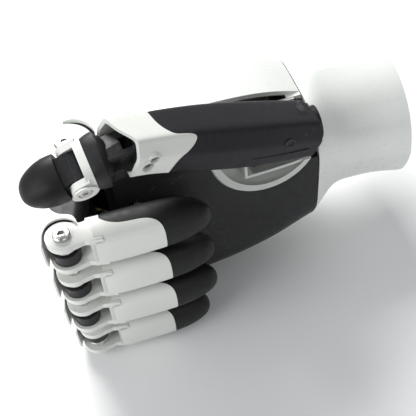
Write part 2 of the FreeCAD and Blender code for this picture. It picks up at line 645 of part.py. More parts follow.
    # -- drive rack in mesh with the hub gear
    rk = prism(rack_pts(GM, -1, 4, -GR, -7.1, -2.95, 9.2), -4.05, -0.65)
    rk = rk.fuse(xcyl(-6.8, -2.3, D["rod_rad"], 8.5, 27.0))
    rk = rk.common(pbox(-10, 9.2, -8.25, 0, -5, 0).fuse(pbox(9.19, 40, -12, 0, -10, 10)))
    out["drive_rack"] = biggest(rk)
    for k, v in out.items():
        assert v.isValid(), k
    return out


def finger(f, shapes, prox_alias):
    """Place one finger: turned about its knuckle, then about its middle joint."""
    L = D[prox_alias]
    rest_m, rest_p = D["mcp_rest"], D["pip_rest"]
    a = math.radians(rest_m)
    z = FZ[f]
    knuckle = FreeCAD.Placement(V(mcx, mcy, z), FreeCAD.Rotation(V(0, 0, 1), rest_m))
    pip = V(mcx - L * math.cos(a), mcy - L * math.sin(a), z)
    middle = FreeCAD.Placement(pip, FreeCAD.Rotation(V(0, 0, 1), rest_m + rest_p))
    where = {"proximal": knuckle, "knuckle_cover": knuckle, "return_spring": knuckle, "distal_link": middle, "distal_cover": middle,
             "fingertip": middle, "drive_rack": FreeCAD.Placement(V(mcx, mcy, z), FreeCAD.Rotation())}
    # the spring is wound about its own axis, beside the tongue
    where["return_spring"] = knuckle.multiply(FreeCAD.Placement(V(-L, 0, 0.98 * SIDE[f]), FreeCAD.Rotation()))
    for key, pl in where.items():
        sh_ = shapes[key].copy()
        if SIDE[f] < 0:
            sh_ = sh_.mirror(V(0, 0, 0), V(0, 0, 1))
        node(feature(f.capitalize() + "_" + key, sh_, pl), f + "_" + key)
    sb = screw_body(f.capitalize() + "JointScrew", D["pip_rad"], -6.9, 6.9, 2.9, 1.4, 2.7, 1.0, 1.35)
    put(sb, ("Dims.knuckle_x - Dims.%s * cos(Dims.mcp_rest * 1 deg)" % prox_alias, "Dims.knuckle_y - Dims.%s * sin(Dims.mcp_rest * 1 deg)" % prox_alias, z),
        (0, 0, 1), rest_m + rest_p)
    node(sb, f + "_joint_screw")


long_finger = finger_shapes(D["prox_len"], D["dist_len"])
for f in ("index", "middle", "ring"):
    finger(f, long_finger, "prox_len")
finger("little", finger_shapes(D["little_prox_len"], D["little_dist_len"]), "little_prox_len")

# ====================================================================== thumb
mp = V(D["thumb_mp_x"], D["thumb_mp_y"], D["thumb_mp_z"])
root = V(-41.0, -20.0, 27.0)
tx = (root - mp).normalize()
outward = V(-0.141, -0.598, 0.789)
y0_ = (outward - tx * outward.dot(tx)).normalize()
z0_ = tx.cross(y0_)
ph = math.radians(21.0)
ty = y0_ * math.cos(ph) - z0_ * math.sin(ph)
tz = tx.cross(ty)
META = FreeCAD.Placement(FreeCAD.Matrix(tx.x, ty.x, tz.x, mp.x, tx.y, ty.y, tz.y, mp.y, tx.z, ty.z, tz.z, mp.z, 0, 0, 0, 1))
PROX = META.multiply(FreeCAD.Placement(V(0, 0, 0), FreeCAD.Rotation(V(0, 0, 1), D["thumb_mp_rest"])))
DIST = PROX.multiply(FreeCAD.Placement(V(-D["thumb_prox_len"], 0, 0), FreeCAD.Rotation(V(0, 0, 1), D["thumb_ip_rest"])))
print("thumb axes", tx, ty, tz, "IP", DIST.Base, "tip", DIST.multVec(V(-D["thumb_dist_len"], 0, 0)))


def moved(shape, pl):
    s = shape.copy()
    s.transformShape(pl.toMatrix())
    return s


INV = META.inverse()

# thumb rotation motor: fixed barrel the base drum turns round
tm = cyl("thumb_motor_barrel", "Dims.thumb_motor_rad", 19.5, (-59.6, "Dims.thumb_ax_y", "Dims.thumb_ax_z"), "x")
ts = cyl("thumb_motor_shaft", 2.0, 4.0, (-63.2, "Dims.thumb_ax_y", "Dims.thumb_ax_z"), "x")
tf = cyl("thumb_motor_boss", 3.0, 3.2, (-40.2, "Dims.thumb_ax_y", "Dims.thumb_ax_z"), "x")
node(fuse("ThumbMotor", [tm, ts, tf]), "thumb_rotation_motor")

# base drum
dr = cyl("drum_barrel", "Dims.drum_rad", "Dims.drum_len", (-63.0, "Dims.thumb_ax_y", "Dims.thumb_ax_z"), "x")
di = cyl("drum_bore", 5.9, 30.0, (-60.0, "Dims.thumb_ax_y", "Dims.thumb_ax_z"), "x")
dj = cyl("drum_shaft_hole", 2.05, 10.0, (-66.0, "Dims.thumb_ax_y", "Dims.thumb_ax_z"), "x")
node(cut("ThumbDrum", dr, fuse("drum_holes", [di, dj])), "thumb_base_drum")


# metacarpal housing, local frame at the first thumb joint, running back along +X
def ridge_poles(x, up, down, w, zc=0.0, t=0.0):
    """Rounded section with a soft ridge between its outer and lower faces."""
    up, down, w, rg = up - t, down - t, w - t, 3.3 - 0.35 * t
    c = [(up, rg), (up * 0.42, w * 0.87), (-down * 0.42, w), (-down, w * 0.62), (-down, -w * 0.62), (-down * 0.2, -w), (up * 0.46, -w * 0.97)]
    pts = []
    for i, p in enumerate(c):
        q = c[(i + 1) % len(c)]
        for k in range(4):
            f_ = k / 4.0
            pts.append((p[0] + (q[0] - p[0]) * f_, p[1] + (q[1] - p[1]) * f_))
    return [V(x, p[0], p[1] + zc) for p in pts]


M_SECT = [(3.2, 8.9, 8.5, 9.1, 0.0), (12.0, 9.3, 9.0, 9.7, 0.4), (24.0, 9.7, 9.8, 10.3, 1.2), (38.0, 9.9, 10.4, 10.5, 2.3),
          (52.0, 9.6, 10.2, 10.1, 3.2), (67.0, 8.8, 9.6, 9.4, 4.2)]
m_out = skin([ridge_poles(x, u, d_, w, zc, 0.0) for x, u, d_, w, zc in M_SECT])
m_in = skin([ridge_poles(x - (0.6 if x < 5 else 0), u, d_, w, zc, 1.8) for x, u, d_, w, zc in M_SECT])
drum_local = moved(xcyl(axy, axz, D["drum_rad"] + 0.02, -63.0, -42.0), INV)
end_plane = moved(pbox(-38.8, 40, -80, 80, -80, 80), INV)
back_wall = moved(pbox(-42.0, -38.0, -80, 80, -80, 80), INV)
mc = m_out.cut(m_in.cut(back_wall)).cut(end_plane).cut(drum_local)
mc = mc.cut(moved(xcyl(axy, axz, 6.5, -70, -30), INV))


def y_prism(pts, corners):
    """Outline in the (x, z) plane, smooth through pts, pulled through y."""
    c = Part.BSplineCurve()
    c.interpolate([V(p[0], -20, p[1]) for p in pts])
    e = [c.toShape()]
    q = [pts[-1]] + corners + [pts[0]]
    for a_, b_ in zip(q[:-1], q[1:]):
        e.append(Part.makeLine(V(a_[0], -20, a_[1]), V(b_[0], -20, b_[1])))
    return Part.Face(Part.Wire(Part.__sortEdges__(e))).extrude(V(0, 40, 0))


# white bracket: back plate and cheeks round the first joint, with a wing along
# the lower face of the housing
LOBE = [(4.4, -13.0), (4.9, -6.0), (5.6, -0.5), (7.6, 2.6), (12.0, 3.6), (15.4, 5.2), (13.4, 7.4), (9.6, 9.0), (7.6, 13.5)]
lobe = y_prism(LOBE, [(-16.0, 13.5), (-16.0, -13.0)])
lobe_room = y_prism([(x + 0.15, z - (0.15 if 0 < z < 6 else 0)) for x, z in LOBE], [(-16.0, 13.5), (-16.0, -13.0)])
B_SECT = [(-11.0, 8.3, 8.4, 8.9, 0.0), (-5.0, 8.8, 8.5, 9.1, 0.0), (3.2, 9.1, 8.7, 9.3, 0.0), (12.0, 9.5, 9.2, 9.9, 0.4), (18.0, 9.7, 9.6, 10.2, 0.8)]
b_out = skin([ridge_poles(x, u, d_, w, zc, 0.0) for x, u, d_, w, zc in B_SECT])
b_in = skin([ridge_poles(x + (-0.5 if x < -10 else 0.5 if x > 17 else 0), u, d_, w, zc, 1.5) for x, u, d_, w, zc in B_SECT])
br = b_out.cut(b_in).common(lobe).common(pbox(-20, 20, -4.8, 20, -20, 20))
# slanted mouth where the moving segment comes out
mouth = y_prism([(-10.6, -13.0), (-9.8, -8.5), (-8.4, -3.0), (-5.6, 2.2), (-4.6, 6.0), (-5.2, 13.0)], [(-24.0, 13.0), (-24.0, -13.0)])
br = br.cut(mouth)
boss = zcyl(0, 0, 3.9, 6.4, 8.3).fuse(zcyl(0.9, 3.3, 2.4, 6.4, 8.0)).fuse(zcyl(0, 0, 3.6, -9.0, -7.0))
br = br.fuse(boss).cut(zcyl(0, 0, 2.5, -14, -8.98)).cut(zcyl(0, 0, 1.52, -20, 20)).cut(zcyl(0, 0, 2.05, 7.0, 12)).cut(zcyl(0.9, 3.5, 1.6, 6.9, 12))
node(feature("ThumbBracket", biggest(br), META), "thumb_mp_bracket")

# the housing ends under the bracket and is notched for its wing
mc = mc.cut(pbox(-20, 2.9, -30, 30, -30, 30)).cut(lobe_room.common(pbox(-20, 20, -4.95, 20, -20, 20)).cut(m_in))
mc = mc.cut(br)
node(feature("ThumbHousing", biggest(mc), META), "thumb_metacarpal_cover")

lock = Part.makeCylinder(1.5, 0.85, V(0.9, 3.5, 6.9), V(0, 0, 1)).cut(Part.makeCylinder(0.75, 0.6, V(0.9, 3.5, 7.25), V(0, 0, 1)))
node(feature("ThumbLockScrew", biggest(lock), META), "thumb_bracket_screw")

tp_ = screw_body("ThumbMpPin", 1.5, -9.05, 7.0, 1.95, 1.0, 2.4, 0.7, 1.0)
tp_.Placement = META
node(tp_, "thumb_mp_pin")

# thumb flexor: small actuator in the housing and its rack
TM, TT = 0.6, 12
TR = TM * TT / 2.0
fa = Part.makeCylinder(2.8, 22.0, V(20.0, -4.7, 0.6), V(1, 0, 0)).fuse(Part.makeCylinder(2.0, 5.2, V(15.0, -4.7, 0.6), V(1, 0, 0)))
fa = fa.cut(Part.makeCylinder(1.25, 12.0, V(14.5, -4.7, 0.6), V(1, 0, 0)))
node(feature("ThumbFlexor", biggest(fa), META), "thumb_flexor_actuator")
tr = prism(rack_pts(TM, -1, 3, -TR, -5.9, -3.0, 7.0), -1.7, 1.7)
tr = tr.fuse(Part.makeCylinder(1.2, 14.2, V(6.0, -4.7, 0.6), V(1, 0, 0)))
node(feature("ThumbRack", biggest(tr), META), "thumb_flexor_rack")

# thumb proximal segment
LP = D["thumb_prox_len"]
room = skin([ridge_poles(x + (-0.5 if x < -10 else 0.5 if x > 17 else 0), u, d_, w, zc, 1.9) for x, u, d_, w, zc in B_SECT])
tpx = Part.makeCone(3.1, 6.0, 7.4, V(0, 0, -6.6), V(0, 0, 1)).fuse(zcyl(0, 0, 6.0, 0.8, 3.4)).fuse(zcyl(0, 0, 5.2, 3.3, 4.2)).fuse(zcyl(0, 0, 3.4, 4.1, 6.3))
tpx = tpx.fuse(pbox(-11.2, -1.0, -5.6, 5.6, -5.3, 4.1).common(room)).fuse(pbox(-15.5, -10.0, -5.6, 4.2, -4.2, 3.9))
tpx = tpx.fuse(pbox(-15.5, -7.2, -5.2, 1.8, 3.0, 6.4))
p_front = skin([egg_poles(-12.0, 7.0, 7.3, 8.5, 3.2), egg_poles(-14.0, 6.9, 7.3, 8.4, 3.0), egg_poles(-LP + 4.4, 6.4, 7.0, 7.8, 3.0)])
tpx = tpx.fuse(p_front)
tpx = tpx.cut(zcyl(0, 0, 7.6, -2.15, 2.15)).cut(pbox(-9.8, 8, -12, -2.0, -2.15, 2.15)).cut(pbox(-2.0, 10, -12, 12, -2.15, 2.15))
tpx = tpx.fuse(prism(gear_face_pts(TM, TT, -90.0 - D["thumb_mp_rest"] + 180.0 / TT), -2.6, 2.6))
tpx = tpx.cut(zcyl(0, 0, 1.55, -20, 20))
node(feature("ThumbProximal", biggest(tpx), PROX), "thumb_proximal")

# white joint yoke at the end of the proximal segment
yk = skin([egg_poles(-LP + 4.35, 6.5, 7.1, 8.0, 3.0), egg_poles(-LP + 1.6, 6.2, 6.9, 7.9, 3.0)])
ear = zcyl(-LP, 0, 3.9, 5.3, 7.7).fuse(prism([(-LP + 2.6, 4.9), (-LP - 0.8, 3.8), (-LP - 0.8, -3.8), (-LP + 2.6, -4.9)], 5.3, 7.7))
ear2 = ear.mirror(V(0, 0, 0), V(0, 0, 1))
flare = Part.makeCone(3.4, 4.3, 1.1, V(-LP, 0, 7.6), V(0, 0, 1))
yk = yk.fuse(ear).fuse(ear2).fuse(flare)
yk = yk.cut(zcyl(-LP, 0, 2.4, -12, -7.7)).cut(zcyl(-LP, 0, 3.75, -5.25, 5.25)).cut(zcyl(-LP, 0, 1.52, -20, 20)).cut(zcyl(-LP, 0, 2.4, 7.65, 10))
node(feature("ThumbYoke", biggest(yk), PROX), "thumb_ip_bracket")
ip_ = screw_body("ThumbIpPin", 1.5, -7.75, 7.7, 2.2, 0.9, 2.3, 0.8, 1.0)
ip_.Placement = PROX.multiply(FreeCAD.Placement(V(-LP, 0, 0), FreeCAD.Rotation()))
node(ip_, "thumb_ip_pin")

# thumb distal link and soft tip
LD = D["thumb_dist_len"]
dl = zcyl(0, 0, 3.3, -4.9, 4.9).fuse(pbox(-6.5, 0, -3.2, 3.2, -4.9, 4.9)).fuse(
    skin([rr_poles(-5.0, -3.0, 2.8, -4.2, 4.2, 1.4), rr_poles(-9.0, -2.7, 2.4, -3.8, 3.8, 1.3), rr_poles(-13.0, -2.0, 1.8, -2.8, 2.8, 1.1)]))
dl = dl.cut(zcyl(-0.0, 0, 1.55, -20, 20))
node(feature("ThumbLink", biggest(dl), DIST), "thumb_distal_link")
TSEC = [(-4.7, 5.9, 6.6, 7.3, 2.8), (-8.0, 6.2, 6.9, 7.4, 2.7), (-11.5, 5.7, 6.7, 7.0, 2.5), (-14.6, 4.6, 5.8, 6.0, 2.3), (-16.9, 3.2, 4.4, 4.6, 2.2), (-18.3, 1.6, 2.8, 2.8, 2.1), (-18.8, 0.4, 1.4, 1.1, 2.0)]
tt = skin([egg_poles(x, u, d_, w, n_, -0.2) for x, u, d_, w, n_ in TSEC])
tt = tt.cut(dl.Solids[0])
node(feature("ThumbTip", biggest(tt), DIST), "thumb_tip")

# ------------------------------------------------------------ checks and files
doc.recompute()
bad = []
for o in doc.Objects:
    st = list(o.State)
    if "Invalid" in st or "Error" in st:
        bad.append((o.Name, st))
for name, o in NODES:
    s = o.Shape
    if s.isNull() or not s.isValid() or not s.Solids:
        bad.append((name, "shape"))
assert not bad, bad
assert len(NODES) <= 60 and len(set(n for n, o in NODES)) == len(NODES), len(NODES)
os.makedirs("parts", exist_ok=True)
for name, o in NODES:
    o.Shape.exportStep("parts/" + name + ".step")
print(len(NODES), "parts written")
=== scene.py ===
import json
import math

import bmesh
import bpy
from mathutils import Matrix, Vector


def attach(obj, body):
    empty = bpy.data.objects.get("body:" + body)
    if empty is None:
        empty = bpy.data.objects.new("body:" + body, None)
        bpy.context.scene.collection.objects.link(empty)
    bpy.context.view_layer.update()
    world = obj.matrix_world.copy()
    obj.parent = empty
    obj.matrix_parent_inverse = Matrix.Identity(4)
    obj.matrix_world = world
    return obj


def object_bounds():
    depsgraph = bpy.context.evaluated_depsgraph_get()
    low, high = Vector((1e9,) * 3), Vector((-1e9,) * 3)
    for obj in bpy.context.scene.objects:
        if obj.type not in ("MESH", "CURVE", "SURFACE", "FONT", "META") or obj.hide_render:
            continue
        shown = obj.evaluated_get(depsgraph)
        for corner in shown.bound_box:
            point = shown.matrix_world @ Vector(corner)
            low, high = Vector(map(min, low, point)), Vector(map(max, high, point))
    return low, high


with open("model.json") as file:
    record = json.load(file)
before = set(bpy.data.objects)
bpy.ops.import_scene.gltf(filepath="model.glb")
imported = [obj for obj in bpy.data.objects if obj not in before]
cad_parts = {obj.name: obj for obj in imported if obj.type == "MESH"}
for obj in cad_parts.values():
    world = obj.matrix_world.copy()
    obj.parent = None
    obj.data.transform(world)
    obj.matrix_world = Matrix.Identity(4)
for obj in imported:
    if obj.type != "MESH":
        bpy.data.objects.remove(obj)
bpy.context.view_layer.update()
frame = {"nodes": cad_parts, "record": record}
scene = bpy.context.scene
nodes = frame["nodes"]


# ------------------------------------------------------------------ materials
class Tree:
    """A small helper for node materials. Positions are metres in the row frame."""

    def __init__(self, name):
        self.m = bpy.data.materials.new(name)
        self.m.use_nodes = True
        self.t = self.m.node_tree
        self.t.nodes.clear()
        self.out = self.add("ShaderNodeOutputMaterial")
        self.b = self.add("ShaderNodeBsdfPrincipled")
        self.t.links.new(self.b.outputs[0], self.out.inputs[0])
        self.co = self.add("ShaderNodeTexCoord").outputs["Object"]

    def add(self, kind, **props):
        n = self.t.nodes.new(kind)
        for k, v in props.items():
            setattr(n, k, v)
        return n

    def link(self, a, b):
        self.t.links.new(a, b)

    def mapped(self, scale=(1, 1, 1), rot=(0, 0, 0), src=None):
        n = self.add("ShaderNodeMapping")
        self.link(src or self.co, n.inputs["Vector"])
        n.inputs["Scale"].default_value = scale
        n.inputs["Rotation"].default_value = rot
        return n.outputs[0]

    def noise(self, scale, detail=3.0, rough=0.55, vec=None, dist=0.0):
        n = self.add("ShaderNodeTexNoise")
        self.link(vec or self.co, n.inputs["Vector"])
        n.inputs["Scale"].default_value = scale
        n.inputs["Detail"].default_value = detail
        n.inputs["Roughness"].default_value = rough
        n.inputs["Distortion"].default_value = dist
        return n.outputs[0]

    def voronoi(self, scale, vec=None, feature="F1"):
        n = self.add("ShaderNodeTexVoronoi", feature=feature)
        self.link(vec or self.co, n.inputs["Vector"])
        n.inputs["Scale"].default_value = scale
        return n.outputs["Distance"]

    def wave(self, scale, vec=None, dist=0.0, detail=1.0, direction="X"):
        n = self.add("ShaderNodeTexWave", wave_type="BANDS", bands_direction=direction)
        self.link(vec or self.co, n.inputs["Vector"])
        n.inputs["Scale"].default_value = scale
        n.inputs["Distortion"].default_value = dist
        n.inputs["Detail"].default_value = detail
        return n.outputs["Fac"]

    def span(self, src, a, b, c, d):
        n = self.add("ShaderNodeMapRange")
        self.link(src, n.inputs["Value"])
        for k, v in zip(("From Min", "From Max", "To Min", "To Max"), (a, b, c, d)):
            n.inputs[k].default_value = v
        return n.outputs[0]

    def math(self, op, a, b):
        n = self.add("ShaderNodeMath", operation=op)
        for i, v in enumerate((a, b)):
            if isinstance(v, (int, float)):
                n.inputs[i].default_value = v
            else:
                self.link(v, n.inputs[i])
        return n.outputs[0]

    def mix(self, fac, a, b):
        n = self.add("ShaderNodeMix", data_type="RGBA")
        if isinstance(fac, (int, float)):
            n.inputs["Factor"].default_value = fac
        else:
            self.link(fac, n.inputs["Factor"])
        for key, v in ((6, a), (7, b)):
            if isinstance(v, (tuple, list)):
                n.inputs[key].default_value = (*v, 1.0)
            else:
                self.link(v, n.inputs[key])
        return n.outputs[2]

    def bump(self, height, strength, distance, prev=None):
        n = self.add("ShaderNodeBump")
        self.link(height, n.inputs["Height"])
        n.inputs["Strength"].default_value = strength
        n.inputs["Distance"].default_value = distance
        if prev is not None:
            self.link(prev, n.inputs["Normal"])
        return n.outputs[0]

    def normal_z(self):
        g = self.add("ShaderNodeNewGeometry")
        s = self.add("ShaderNodeSeparateXYZ")
        self.link(g.outputs["Normal"], s.inputs[0])
        return s.outputs[2]

    def finish(self, colour, rough, normal=None, metallic=0.0, spec=0.5, coat=0.0, coat_rough=0.1, sheen=0.0, aniso=0.0):
        b = self.b.inputs
        self.link(colour, b["Base Color"])
        self.link(rough, b["Roughness"])
        b["Metallic"].default_value = metallic
        b["Specular IOR Level"].default_value = spec
        b["Coat Weight"].default_value = coat
        b["Coat Roughness"].default_value = coat_rough
        b["Sheen Weight"].default_value = sheen
        b["Anisotropic"].default_value = aniso
        if normal is not None:
            self.link(normal, b["Normal"])
        return self.m


def scuffs(t, scale=260.0):
    """Thin scuff marks: stretched noise kept only where it peaks."""
    a = t.noise(scale, 2.0, 0.5, t.mapped((1.0, 9.0, 1.6), (0.3, 0.2, 0.5)))
    b = t.noise(scale * 0.8, 2.0, 0.5, t.mapped((8.0, 1.0, 1.4), (0.1, 0.6, 0.9)))
    m = t.math("MAXIMUM", t.span(a, 0.66, 0.72, 0.0, 1.0), t.span(b, 0.67, 0.73, 0.0, 1.0))
    patch = t.span(t.noise(45.0, 2.0, 0.5), 0.48, 0.62, 0.0, 1.0)
    return t.math("MULTIPLY", m, patch)


def white_plastic(name, colour, shade, rough, grain, coat, peel):
    t = Tree(name)
    big, mid, fine = t.noise(38.0, 3.0), t.noise(420.0, 4.0), t.noise(2600.0, 3.0, 0.6)
    col = t.mix(t.span(big, 0.35, 0.65, 0.0, 0.55), colour, shade)
    specks = t.span(t.voronoi(1500.0), 0.0, 0.12, 1.0, 0.0)
    specks = t.math("MULTIPLY", specks, t.span(t.noise(700.0, 1.0), 0.62, 0.7, 0.0, 0.35))
    col = t.mix(specks, col, (0.30, 0.29, 0.27))
    sc = scuffs(t)
    col = t.mix(t.math("MULTIPLY", sc, 0.22), col, (0.45, 0.45, 0.44))
    r = t.math("ADD", t.span(mid, 0.3, 0.7, rough - 0.05, rough + 0.07), t.math("MULTIPLY", sc, 0.2))
    n = t.bump(t.noise(560.0, 2.0, 0.4), peel, 0.00006)
    n = t.bump(fine, grain, 0.00004, n)
    n = t.bump(sc, -0.12, 0.00003, n)
    return t.finish(col, r, n, coat=coat, coat_rough=0.06, spec=0.5)


def black_plastic(name, colour, shade, rough, grain, grain_scale=2400.0, layers=None, spec=0.4):
    t = Tree(name)
    big, mid, fine = t.noise(30.0, 3.0), t.noise(380.0, 4.0), t.noise(grain_scale, 3.0, 0.6)
    col = t.mix(t.span(big, 0.3, 0.7, 0.0, 1.0), colour, shade)
    dust = t.math("MULTIPLY", t.span(t.noise(1900.0, 2.0), 0.67, 0.76, 0.0, 0.16), t.span(mid, 0.4, 0.6, 0.2, 1.0))
    col = t.mix(dust, col, (0.17, 0.17, 0.17))
    sc = scuffs(t, 240.0)
    col = t.mix(t.math("MULTIPLY", sc, 0.35), col, (0.11, 0.11, 0.115))
    r = t.math("SUBTRACT", t.span(mid, 0.3, 0.7, rough - 0.05, rough + 0.09), t.math("MULTIPLY", sc, 0.1))
    n = t.bump(t.noise(500.0, 2.0, 0.4), 0.10, 0.00008)
    n = t.bump(fine, grain, 0.00006, n)
    if layers is not None:
        rot, pitch, strength = layers
        bands = t.wave(1.0 / (pitch * 3.1416), t.mapped((1, 1, 1), rot), 0.15, 1.0, "Y")
        n = t.bump(bands, strength, 0.00007, n)
        col = t.mix(t.span(bands, 0.0, 1.0, 0.0, 0.10), col, (0.10, 0.09, 0.11))
    return t.finish(col, r, n, spec=spec)


def rubber(name, colour, shade):
    t = Tree(name)
    big, fine = t.noise(55.0, 3.0), t.noise(3400.0, 4.0, 0.65)
    col = t.mix(t.span(big, 0.3, 0.7, 0.0, 1.0), colour, shade)
    rub = t.span(t.noise(160.0, 3.0), 0.5, 0.75, 0.0, 1.0)
    col = t.mix(t.math("MULTIPLY", rub, 0.3), col, (0.026, 0.026, 0.027))
    dust = t.span(t.noise(2300.0, 2.0), 0.68, 0.78, 0.0, 0.18)
    col = t.mix(dust, col, (0.20, 0.20, 0.20))
    r = t.span(t.noise(300.0, 3.0), 0.3, 0.7, 0.40, 0.54)
    n = t.bump(fine, 0.22, 0.00006)
    n = t.bump(t.noise(420.0, 2.0), 0.12, 0.0001, n)
    return t.finish(col, r, n, spec=0.24)


def metal(name, colour, dark, rough, brush=(1.0, 14.0, 1.0), brush_scale=900.0, aniso=0.35, strength=0.2):
    t = Tree(name)
    br = t.noise(brush_scale, 3.0, 0.6, t.mapped(brush))
    big = t.noise(120.0, 3.0)
    col = t.mix(t.span(br, 0.3, 0.7, 0.0, 1.0), colour, dark)
    grime = t.span(t.noise(800.0, 3.0), 0.58, 0.72, 0.0, 0.5)
    col = t.mix(grime, col, tuple(c * 0.45 for c in dark))
    r = t.math("ADD", t.span(big, 0.3, 0.7, rough - 0.05, rough + 0.07), t.math("MULTIPLY", grime, 0.3))
    n = t.bump(br, strength, 0.00003)
    return t.finish(col, r, n, metallic=1.0, aniso=aniso)


def board_mat(name):
    t = Tree(name)
    brick = t.add("ShaderNodeTexBrick")
    t.link(t.mapped((1, 1, 1), (math.pi / 2, 0, 0)), brick.inputs["Vector"])
    brick.inputs["Scale"].default_value = 260.0
    brick.inputs["Mortar Size"].default_value = 0.02
    brick.inputs["Color1"].default_value = (0.01, 0.10, 0.05, 1)
    brick.inputs["Color2"].default_value = (0.012, 0.13, 0.06, 1)
    brick.inputs["Mortar"].default_value = (0.08, 0.28, 0.12, 1)
    pads = t.span(t.voronoi(420.0), 0.0, 0.2, 1.0, 0.0)
    col = t.mix(t.math("GREATER_THAN", pads, 0.55), brick.outputs[0], (0.62, 0.55, 0.36))
    r = t.span(t.noise(700.0), 0.3, 0.7, 0.3, 0.5)
    n = t.bump(brick.outputs[1], 0.2, 0.00004)
    return t.finish(col, r, n, spec=0.5, coat=0.2)


MATS = {
    "white_gloss": white_plastic("Body_white_gloss", (0.79, 0.81, 0.78), (0.735, 0.755, 0.72), 0.30, 0.05, 0.35, 0.10),
    "white_satin": white_plastic("Cover_white_satin", (0.75, 0.76, 0.725), (0.67, 0.68, 0.64), 0.42, 0.16, 0.08, 0.12),
    "black_satin": black_plastic("Palm_black_satin", (0.011, 0.011, 0.012), (0.019, 0.019, 0.020), 0.43, 0.14, spec=0.3),
    "black_printed": black_plastic("Thumb_black_layered", (0.0075, 0.0070, 0.0090), (0.0135, 0.0120, 0.0155), 0.42, 0.16, 2200.0,
                                   ((0.6, 0.0, 0.25), 0.00055, 0.10), 0.24),
    "black_rubber": rubber("Soft_black_rubber", (0.0055, 0.0055, 0.0058), (0.0095, 0.0095, 0.0100)),
    "steel": metal("Joint_steel", (0.74, 0.73, 0.71), (0.48, 0.47, 0.46), 0.24),
    "aluminium": metal("Chassis_aluminium", (0.66, 0.67, 0.68), (0.50, 0.51, 0.52), 0.40, (1, 1, 1), 2600.0, 0.0, 0.3),
    "board": board_mat("Control_board_green"),
    "brass": metal("Gear_brass", (0.72, 0.55, 0.26), (0.50, 0.36, 0.15), 0.30),
    "motor_can": metal("Motor_can_dark", (0.16, 0.16, 0.17), (0.09, 0.09, 0.10), 0.34, (14.0, 1.0, 1.0)),
}

MATS["dark_link"] = metal("Link_dark_anodised", (0.055, 0.055, 0.058), (0.03, 0.03, 0.032), 0.42, (1, 1, 1), 2600.0, 0.0, 0.3)
# darker copy of the white gloss plastic for the thumb socket: painted shade for where it sits under the thumb housing
MATS["dish_white_painted_shade"] = white_plastic("Dish_white_painted_shade", (0.62, 0.64, 0.61), (0.52, 0.54, 0.51), 0.34, 0.05, 0.2, 0.10)
slot_of = {s["node"]: s["material_slot"] for s in frame["record"]["subparts"]}
finish_of = {"thumb_distal_link": "dark_link", "palm_chassis": "dark_link", "thumb_base_drum": "dark_link", "thumb_socket": "dish_white_painted_shade"}
for name, obj in nodes.items():
    mat = MATS[finish_of.get(name, slot_of[name])]
    if not obj.material_slots:
        obj.data.materials.append(mat)
    for s in obj.material_slots:
        s.link = "OBJECT"
        s.material = mat
    bpy.context.view_layer.objects.active = obj
    obj.data.polygons.foreach_set("use_smooth", [True] * len(obj.data.polygons))
    if hasattr(obj.data, "set_sharp_from_angle"):
        obj.data.set_sharp_from_angle(angle=math.radians(32))

# ------------------------------------------------- moulded details and seals
def V3(*a):
    return Vector(a) * 0.001


def bead(name, pts, radius, body, mat, squash_=1.0, closed=False, steps=8):
    """A slim moulded bead or seal that follows points given in millimetres."""
    cu = bpy.data.curves.new(name, "CURVE")
    cu.dimensions = "3D"
    sp = cu.splines.new("NURBS")
    sp.points.add(len(pts) - 1)
    for p, q in zip(sp.points, pts):
        p.co = (q[0] * 0.001, q[1] * 0.001, q[2] * 0.001, 1.0)
    sp.use_cyclic_u = closed
    sp.use_endpoint_u = not closed
    sp.order_u = 4
    sp.resolution_u = steps
    cu.bevel_depth = radius * 0.001
    cu.bevel_resolution = 3
    cu.use_fill_caps = True
    tmp = bpy.data.objects.new(name + "_curve", cu)
    scene.collection.objects.link(tmp)
    bpy.context.view_layer.update()
    me = bpy.data.meshes.new_from_object(tmp.evaluated_get(bpy.context.evaluated_depsgraph_get()))
    bpy.data.objects.remove(tmp)
    o = bpy.data.objects.new(name, me)
    scene.collection.objects.link(o)
    me.materials.clear()
    me.materials.append(mat)
    me.polygons.foreach_set("use_smooth", [True] * len(me.polygons))
    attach(o, body)
    return o


def plate(name, at, normal, along, size, height, body, mat, n=28, power=2.0, dish=0.0, slotcut=None):
    """A small domed oval plug: rings of a superellipse with a rounded edge and a dished middle."""
    nz = Vector(normal).normalized()
    ax = (Vector(along) - nz * Vector(along).dot(nz)).normalized()
    ay = nz.cross(ax)
    rings = [(1.0, -0.9), (1.0, 0.25), (0.985, 0.62), (0.94, 0.88), (0.86, 1.0), (0.72, 1.0 - dish * 0.3), (0.5, 1.0 - dish), (0.25, 1.0 - dish)]
    bm = bmesh.new()
    rows = []
    for f_, h in rings:
        row = []
        for k in range(n):
            a = 2 * math.pi * k / n
            c, s_ = math.cos(a), math.sin(a)
            rr = 1.0 / (abs(c) ** power + abs(s_) ** power) ** (1.0 / power)
            p = V3(*at) + (ax * c * rr * size[0] + ay * s_ * rr * size[1]) * f_ * 0.001 + nz * h * height * 0.001
            row.append(bm.verts.new(p))
        rows.append(row)
    for a_, b_ in zip(rows[:-1], rows[1:]):
        for k in range(n):
            bm.faces.new((a_[k], a_[(k + 1) % n], b_[(k + 1) % n], b_[k]))
    bm.faces.new(rows[-1])
    bm.faces.new(list(reversed(rows[0])))
    me = bpy.data.meshes.new(name)
    bm.to_mesh(me)
    bm.free()
    o = bpy.data.objects.new(name, me)
    scene.collection.objects.link(o)
    me.materials.append(mat)
    me.polygons.foreach_set("use_smooth", [True] * len(me.polygons))
    if hasattr(me, "set_sharp_from_angle"):
        me.set_sharp_from_angle(angle=math.radians(40))
    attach(o, body)
    return o


